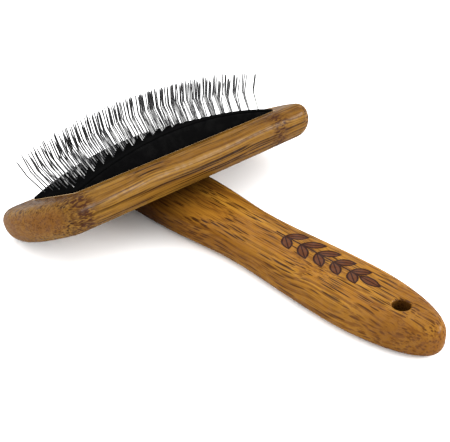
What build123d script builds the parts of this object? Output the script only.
"""Slicker brush: a bamboo head and handle, an arched cushion and ten rows of bent steel wire pins.

Frame: millimetres, +Z up, the brush lying on its back as it is put down after use. X runs along the
head, the handle points to -Y, and the pins point up and away from the handle. The origin is the
middle of the overall box at its base, on the surface that the brush lies on.

Two working frames are used on the way. The handle frame has Z = 0 on the surface and Y = 0 under the
middle of the head's face. The head frame has its origin in the middle of the head's face, its Z
square to that face and its Y pointing away from the handle.
"""

from build123d import *
from math import asin, cos, floor, radians, sin
import os

# ---- head: a bamboo block, flat faced, with rounded edges and bowed ends ----
HEAD_LENGTH = 150.0
HEAD_WIDTH = 59.0
HEAD_THICKNESS = 15.3
HEAD_END_BOW = 8.0  # how far each end bulges past its corners
HEAD_CORNER = 10.0  # plan radius of the four corners
FACE_ROUND = 5.4  # rounding of the edge round the face
BACK_ROUND = 9.0  # rounding of the edge round the back
HEAD_TILT = 27.3  # degrees that the face leans away from the handle

# ---- seat: the pocket in the face that holds the pad ----
SEAT_LENGTH = 111.2
SEAT_WIDTH = 36.8
SEAT_CORNER = 2.0
SEAT_DEPTH = 3.0

# ---- pad: cushion, backing felt and pin cloth, all bent to one arch ----
PAD_CLEARANCE = 0.1  # gap between the pad and the wall of the seat
PAD_RISE = 9.7  # height of the crown of the arch above the face
PAD_END_RISE = 1.0  # height of the arch above the face at its two ends
CLOTH_THICKNESS = 1.3
FELT_THICKNESS = 1.0

# ---- pins: single bent wires, each with its foot turned over under the cloth ----
WIRE = 0.5
PIN_PITCH = 5.5  # from pin to pin along a row
ROW_PITCH = 3.2
ROW_COUNT = 10
PIN_MARGIN = 2.2  # least distance from a pin to the end of the pad
LOWER_LEG = 9.9  # from the cloth to the knee
UPPER_LEG = 8.5  # from the knee to the tip
LOWER_LEAN = 15.0  # degrees, away from the handle
UPPER_LEAN = 18.0  # degrees, towards the handle
KNEE_RADIUS = 1.6
FOOT_LENGTH = 2.0
FOOT_RADIUS = 0.5
FOOT_SINK = 0.15  # felt left between the foot and the cloth

# ---- handle: a bamboo board with its root cut on a slant to seat the head ----
HANDLE_REACH = 155.4  # from under the middle of the face to the tip
HANDLE_ROOT = 8.5  # how far the root runs on past the middle of the face
HANDLE_THICKNESS = 14.0
HANDLE_ROUND = 5.7  # rounding of both rims, no larger than the tip allows
TIP_SHARE = 0.95  # most of the tip's own radius that the rounding may take
ROOT_WIDTH = 35.2
ROOT_CORNER = 7.0
NECK_WIDTH = 33.2
NECK_FROM_CENTRE = 30.0
WAIST_WIDTH = 28.4
WAIST_FROM_CENTRE = 52.0
GRIP_WIDTH = 31.8
GRIP_FROM_TIP = 42.0  # the tip is half an ellipse from here on
HOLE_DIAMETER = 6.8
HOLE_FROM_TIP = 18.9
HOLE_ROUND = 1.1

# ---- joint between head and handle: two countersunk screws and two dowels ----
SCREW_FLOOR = 3.2  # wood left under a screw's point
SCREW_SHANK = 3.5
SCREW_CORE = 2.3
SCREW_THREAD_LENGTH = 13.0
SCREW_THREAD_PITCH = 1.3
SCREW_HEAD = 7.0
SCREW_POINT = 2.5
SCREW_RECESS = 2.6
SCREW_SPACING = 17.0
SCREW_Y = -1.0  # in the head frame
SCREW_CLEARANCE = 0.1
DOWEL_DIAMETER = 6.0
DOWEL_IN_HEAD = 7.0
DOWEL_FLOOR = 1.0  # wood left under a dowel's socket
DOWEL_SPACING = 20.0
DOWEL_Y = 8.0  # in the head frame
DOWEL_CLEARANCE = 0.03
SOCKET_GAP = 0.4  # depth left past each end of a dowel

CENTRED_ON_TOP = (Align.CENTER, Align.CENTER, Align.MAX)
CENTRED_ON_BASE = (Align.CENTER, Align.CENTER, Align.MIN)

# The head lies back until its rounded rear edge touches the surface that the handle lies on.
FACE_HEIGHT = (
    (HEAD_WIDTH / 2 - BACK_ROUND) * sin(radians(HEAD_TILT))
    + (HEAD_THICKNESS - BACK_ROUND) * cos(radians(HEAD_TILT))
    + BACK_ROUND
)
HEAD_PLACE = Pos(0, 0, FACE_HEIGHT) * Rot(-HEAD_TILT, 0, 0)


def back_height(y):
    """Height of the head's back above the surface, at that Y of the head frame."""
    return FACE_HEIGHT - y * sin(radians(HEAD_TILT)) - HEAD_THICKNESS * cos(radians(HEAD_TILT))


SCREW_BITE = (back_height(SCREW_Y) - SCREW_FLOOR) / cos(radians(HEAD_TILT))
SCREW_LENGTH = HEAD_THICKNESS - SEAT_DEPTH + SCREW_BITE
DOWEL_DROP = back_height(DOWEL_Y) - DOWEL_FLOOR - DOWEL_DIAMETER / 2 * sin(radians(HEAD_TILT))
DOWEL_IN_HANDLE = DOWEL_DROP / cos(radians(HEAD_TILT)) - SOCKET_GAP

PAD_LENGTH = SEAT_LENGTH - 2 * PAD_CLEARANCE
PAD_WIDTH = SEAT_WIDTH - 2 * PAD_CLEARANCE
ARCH_DROP = PAD_RISE - PAD_END_RISE
ARCH_RADIUS = ((PAD_LENGTH / 2) ** 2 + ARCH_DROP**2) / (2 * ARCH_DROP)
ARCH_CENTRE = PAD_RISE - ARCH_RADIUS
FELT_TOP = ARCH_RADIUS - CLOTH_THICKNESS
CUSHION_TOP = FELT_TOP - FELT_THICKNESS


def head_outline():
    """The head from above: straight sides, bowed ends, rounded corners."""
    half_length, half_width = HEAD_LENGTH / 2, HEAD_WIDTH / 2
    corner_x = half_length - HEAD_END_BOW
    with BuildSketch() as sketch:
        with BuildLine():
            Line((-corner_x, -half_width), (corner_x, -half_width))
            ThreePointArc((corner_x, -half_width), (half_length, 0), (corner_x, half_width))
            Line((corner_x, half_width), (-corner_x, half_width))
            ThreePointArc((-corner_x, half_width), (-half_length, 0), (-corner_x, -half_width))
        make_face()
        fillet(sketch.vertices(), HEAD_CORNER)
    return sketch.sketch


def screw_places():
    return [Pos(x, SCREW_Y, -SEAT_DEPTH) for x in (-SCREW_SPACING / 2, SCREW_SPACING / 2)]


def dowel_places():
    return [Pos(x, DOWEL_Y, -HEAD_THICKNESS) for x in (-DOWEL_SPACING / 2, DOWEL_SPACING / 2)]


def head_block():
    """The head in its own frame: seat pocket, countersunk screw holes and dowel sockets."""
    block = extrude(head_outline(), -HEAD_THICKNESS)
    block = fillet(block.faces().sort_by(Axis.Z)[-1].edges(), FACE_ROUND)
    block = fillet(block.faces().sort_by(Axis.Z)[0].edges(), BACK_ROUND)
    seat = extrude(RectangleRounded(SEAT_LENGTH, SEAT_WIDTH, SEAT_CORNER), -SEAT_DEPTH)
    block -= seat
    radius = SCREW_SHANK / 2 + SCREW_CLEARANCE
    sink = (SCREW_HEAD - SCREW_SHANK) / 2
    for place in screw_places():
        block -= place * Cylinder(radius, HEAD_THICKNESS, align=CENTRED_ON_TOP)
        block -= place * Cone(radius, SCREW_HEAD / 2 + SCREW_CLEARANCE, sink, align=CENTRED_ON_TOP)
    for place in dowel_places():
        socket = Cylinder(
            DOWEL_DIAMETER / 2 + DOWEL_CLEARANCE, DOWEL_IN_HEAD + SOCKET_GAP, align=CENTRED_ON_BASE
        )
        block -= place * socket
    return block


def handle_outline():
    """The handle from above: flared root, waist, grip and an elliptical tip."""
    root_y = HANDLE_ROOT - ROOT_CORNER
    grip_y = GRIP_FROM_TIP - HANDLE_REACH
    side = [
        (ROOT_WIDTH / 2, root_y - ROOT_CORNER),
        (NECK_WIDTH / 2, -NECK_FROM_CENTRE),
        (WAIST_WIDTH / 2, -WAIST_FROM_CENTRE),
        (GRIP_WIDTH / 2, grip_y),
    ]
    with BuildSketch() as sketch:
        with BuildLine():
            Line((0, HANDLE_ROOT), (ROOT_WIDTH / 2 - ROOT_CORNER, HANDLE_ROOT))
            RadiusArc(
                (ROOT_WIDTH / 2 - ROOT_CORNER, HANDLE_ROOT), (ROOT_WIDTH / 2, root_y), ROOT_CORNER
            )
            Line((ROOT_WIDTH / 2, root_y), side[0])
            Spline(side, tangents=[(0, -1), (0, -1)])
            EllipticalCenterArc((0, grip_y), GRIP_WIDTH / 2, GRIP_FROM_TIP, 0, arc_size=-90)
            mirror(about=Plane.YZ)
        make_face()
    return sketch.sketch


def handle():
    """The handle in its own frame, with the scarf that seats the head and its joint holes."""
    board = extrude(handle_outline(), HANDLE_THICKNESS)
    rims = board.faces().filter_by(Axis.Z).edges()
    tip_radius = (GRIP_WIDTH / 2) ** 2 / GRIP_FROM_TIP
    board = fillet(rims, min(HANDLE_ROUND, TIP_SHARE * tip_radius))
    above_back = Box(2 * HEAD_LENGTH, 4 * HEAD_WIDTH, 4 * HEAD_WIDTH, align=CENTRED_ON_BASE)
    board -= HEAD_PLACE * Pos(0, 0, -HEAD_THICKNESS) * above_back
    hole_y = -HANDLE_REACH + HOLE_FROM_TIP
    board -= Pos(0, hole_y) * Cylinder(HOLE_DIAMETER / 2, HANDLE_THICKNESS, align=CENTRED_ON_BASE)
    rings = [
        edge
        for edge in board.edges().filter_by(GeomType.CIRCLE)
        if abs(edge.radius - HOLE_DIAMETER / 2) < 1e-3 and abs(edge.arc_center.Y - hole_y) < 1e-3
    ]
    board = fillet(rings, HOLE_ROUND)
    for place in screw_places():
        board -= HEAD_PLACE * place * screw()  # the thread cuts its own way in
    for place in dowel_places():
        socket = Cylinder(
            DOWEL_DIAMETER / 2 + DOWEL_CLEARANCE, DOWEL_IN_HANDLE + SOCKET_GAP, align=CENTRED_ON_TOP
        )
        board -= HEAD_PLACE * place * socket
    return board


def screw():
    """A countersunk wood screw, its head flush with Z = 0 and its point down."""
    head_depth = (SCREW_HEAD - SCREW_SHANK) / 2
    thread_top = -(SCREW_LENGTH - SCREW_THREAD_LENGTH)
    thread_end = -(SCREW_LENGTH - SCREW_POINT)
    ridges = floor((thread_top - thread_end) / SCREW_THREAD_PITCH)
    profile = [(0, 0), (SCREW_HEAD / 2, 0), (SCREW_SHANK / 2, -head_depth), (SCREW_SHANK / 2, thread_top)]
    for ridge in range(ridges):
        top = thread_top - ridge * SCREW_THREAD_PITCH
        profile.append((SCREW_CORE / 2, top - SCREW_THREAD_PITCH * 0.4))
        profile.append((SCREW_SHANK / 2, top - SCREW_THREAD_PITCH))
    profile += [(SCREW_CORE / 2, thread_end - SCREW_THREAD_PITCH * 0.4), (0, -SCREW_LENGTH), (0, 0)]
    with BuildPart() as part:
        with BuildSketch(Plane.XZ):
            with BuildLine():
                Polyline(profile)
            make_face()
        revolve(axis=Axis.Z)
    slot = Box(SCREW_HEAD * 0.55, SCREW_HEAD * 0.12, SCREW_RECESS, align=CENTRED_ON_TOP)
    tapered = Cone(SCREW_HEAD * 0.06, SCREW_HEAD * 0.2, SCREW_RECESS, align=CENTRED_ON_TOP)
    cross = (slot + Rot(0, 0, 90) * slot) & tapered
    return part.part - cross


def dowel():
    """A short beech peg with chamfered ends, half in the head and half in the handle."""
    length = DOWEL_IN_HEAD + DOWEL_IN_HANDLE
    peg = Pos(0, 0, -DOWEL_IN_HANDLE) * Cylinder(DOWEL_DIAMETER / 2, length, align=CENTRED_ON_BASE)
    return chamfer(peg.edges().filter_by(GeomType.CIRCLE), DOWEL_DIAMETER * 0.1)


def arch_cylinder(radius):
    """A cylinder along Y whose top is the arch at that radius."""
    return Pos(0, 0, ARCH_CENTRE) * Rot(90, 0, 0) * Cylinder(radius, 2 * PAD_WIDTH)


def pad_layers():
    """The cushion, the backing felt and the pin cloth, from the floor of the seat upwards."""
    corner = SEAT_CORNER - PAD_CLEARANCE
    outline = Pos(0, 0, -SEAT_DEPTH) * RectangleRounded(PAD_LENGTH, PAD_WIDTH, corner)
    prism = extrude(outline, SEAT_DEPTH + PAD_RISE + 1)
    cushion = prism & arch_cylinder(CUSHION_TOP)
    felt = (prism & arch_cylinder(FELT_TOP)) - arch_cylinder(CUSHION_TOP)
    cloth = (prism & arch_cylinder(ARCH_RADIUS)) - arch_cylinder(FELT_TOP)
    return {"cushion": cushion, "backing_felt": felt, "pin_cloth": cloth}


def pin(angle):
    """A wire from tip to foot, standing where that angle round the arch meets the cloth, at Y = 0."""
    radial = Vector(sin(angle), 0, cos(angle))
    across = Vector(0, 1, 0)
    on_cloth = Vector(0, 0, ARCH_CENTRE) + radial * ARCH_RADIUS
    lower = radial * cos(radians(LOWER_LEAN)) + across * sin(radians(LOWER_LEAN))
    upper = radial * cos(radians(UPPER_LEAN)) - across * sin(radians(UPPER_LEAN))
    knee = on_cloth + lower * LOWER_LEG
    heel = on_cloth - lower * ((CLOTH_THICKNESS + FOOT_SINK + WIRE / 2) / cos(radians(LOWER_LEAN)))
    corners = (knee + upper * UPPER_LEG, knee, heel, heel - across * FOOT_LENGTH)
    path = FilletPolyline(*corners, radius=[KNEE_RADIUS, FOOT_RADIUS])
    section = Plane(origin=path @ 0, z_dir=path % 0) * Circle(WIRE / 2)
    return sweep(section, path=path)


def pin_row(shift):
    """A row of pins along the arch, shifted by that length and centred otherwise."""
    arc = 2 * ARCH_RADIUS * asin(PAD_LENGTH / 2 / ARCH_RADIUS)
    field = arc - 2 * PIN_MARGIN - PIN_PITCH / 2
    pins = floor(field / PIN_PITCH) + 1
    start = -(pins - 1) * PIN_PITCH / 2 + shift
    return [pin((start + n * PIN_PITCH) / ARCH_RADIUS) for n in range(pins)]


def pin_rows():
    """Rows in turn shifted a quarter pitch left and right, so that neighbours stand in the gaps."""
    left, right = pin_row(-PIN_PITCH / 4), pin_row(PIN_PITCH / 4)
    rows = {}
    for number in range(ROW_COUNT):
        y = (number - (ROW_COUNT - 1) / 2) * ROW_PITCH
        template = left if number % 2 == 0 else right
        rows[f"pin_row_{number + 1:02d}"] = Compound([Pos(0, y, 0) * wire for wire in template])
    return rows


def assembly():
    """Every piece by name, in the handle frame."""
    layers, rows = pad_layers(), pin_rows()
    wires = [wire for row in rows.values() for wire in row.solids()]
    for name in ("backing_felt", "pin_cloth"):
        layers[name] = layers[name].cut(*wires)
    in_head = {"head_block": head_block(), **layers, **rows}
    for side, place in zip(("left", "right"), screw_places()):
        in_head[f"handle_screw_{side}"] = place * screw()
    for side, place in zip(("left", "right"), dowel_places()):
        in_head[f"dowel_{side}"] = place * dowel()
    pieces = {name: HEAD_PLACE * shape for name, shape in in_head.items()}
    pieces["handle"] = handle()
    return pieces


def write_parts():
    os.makedirs("parts", exist_ok=True)
    pieces = assembly()
    box = Compound(list(pieces.values())).bounding_box()
    to_origin = Pos(-box.center().X, -box.center().Y, -box.min.Z)
    print("shift to the part's origin", to_origin.position)
    print("overall size", box.size)
    for name, shape in pieces.items():
        export_step(to_origin * shape, f"parts/{name}.step")
    print(len(pieces), "nodes")


write_parts()
